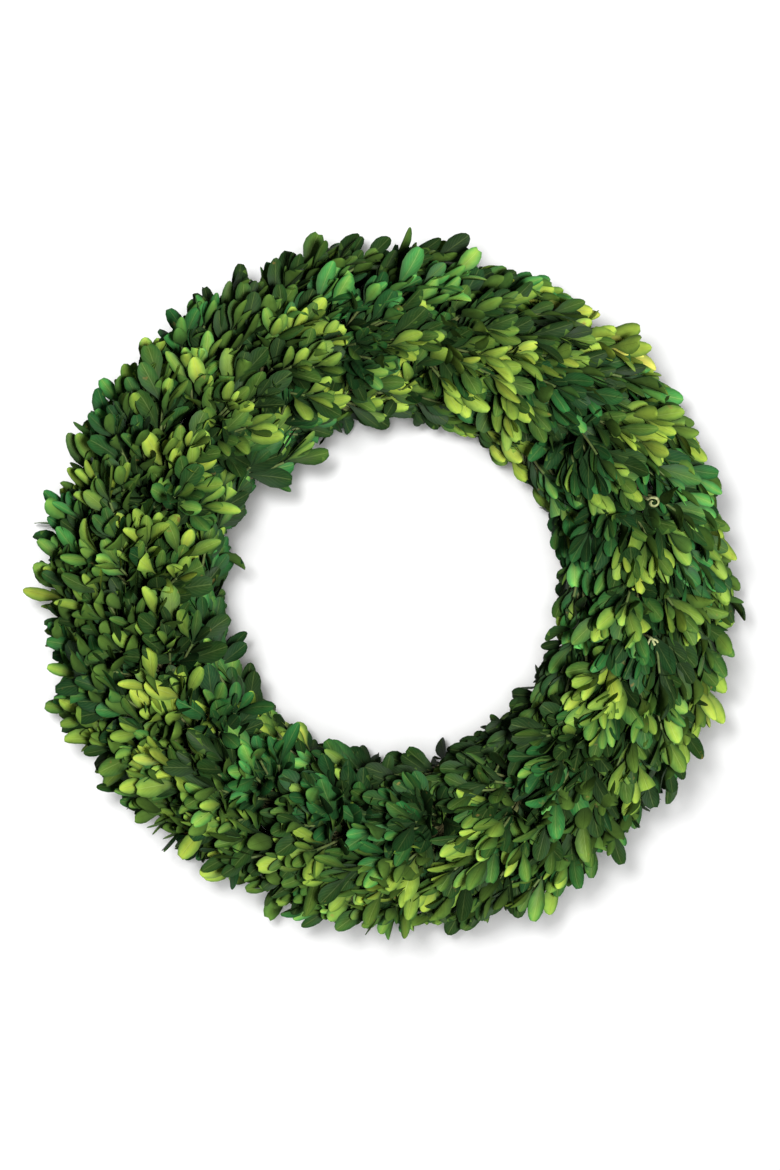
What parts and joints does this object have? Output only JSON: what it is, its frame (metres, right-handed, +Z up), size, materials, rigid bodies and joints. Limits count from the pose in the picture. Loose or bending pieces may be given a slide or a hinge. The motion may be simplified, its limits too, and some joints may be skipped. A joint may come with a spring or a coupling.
{
  "type": "boxwood wreath",
  "caption": "Round boxwood wreath: leafy bunches lean clockwise round a straw ring and are tied down by one winding wire, for laying flat or hanging up.",
  "frame": {"origin": "on the surface that the wreath lies on, below the middle of its outline", "axes": "+Z up, out of the wreath's face; +Y towards the top of the wreath as it is seen in the picture"},
  "size_m": [0.4091, 0.4036, 0.0943],
  "materials": {
    "leaves": "satin green leaves on green-brown stems",
    "straw": "dry straw, matt",
    "wire": "green lacquer, satin"
  },
  "bodies": {
    "root": {"binding_wire": "wire", "bunch_crown_01": "leaves", "bunch_crown_02": "leaves", "bunch_crown_03": "leaves", "bunch_crown_04": "leaves", "bunch_crown_05": "leaves", "bunch_crown_06": "leaves", "bunch_crown_07": "leaves", "bunch_crown_08": "leaves", "bunch_crown_09": "leaves", "bunch_crown_10": "leaves", "bunch_crown_11": "leaves", "bunch_crown_12": "leaves", "bunch_crown_13": "leaves", "bunch_crown_14": "leaves", "bunch_crown_15": "leaves", "bunch_crown_16": "leaves", "bunch_crown_17": "leaves", "bunch_crown_18": "leaves", "bunch_inner_01": "leaves", "bunch_inner_02": "leaves", "bunch_inner_03": "leaves", "bunch_inner_04": "leaves", "bunch_inner_05": "leaves", "bunch_inner_06": "leaves", "bunch_inner_07": "leaves", "bunch_inner_08": "leaves", "bunch_inner_09": "leaves", "bunch_inner_10": "leaves", "bunch_inner_11": "leaves", "bunch_inner_12": "leaves", "bunch_inner_13": "leaves", "bunch_inner_14": "leaves", "bunch_inner_15": "leaves", "bunch_inner_16": "leaves", "bunch_inner_17": "leaves", "bunch_inner_18": "leaves", "bunch_outer_01": "leaves", "bunch_outer_02": "leaves", "bunch_outer_03": "leaves", "bunch_outer_04": "leaves", "bunch_outer_05": "leaves", "bunch_outer_06": "leaves", "bunch_outer_07": "leaves", "bunch_outer_08": "leaves", "bunch_outer_09": "leaves", "bunch_outer_10": "leaves", "bunch_outer_11": "leaves", "bunch_outer_12": "leaves", "bunch_outer_13": "leaves", "bunch_outer_14": "leaves", "bunch_outer_15": "leaves", "bunch_outer_16": "leaves", "bunch_outer_17": "leaves", "bunch_outer_18": "leaves", "straw_ring": "straw"}
  },
  "joints": []
}
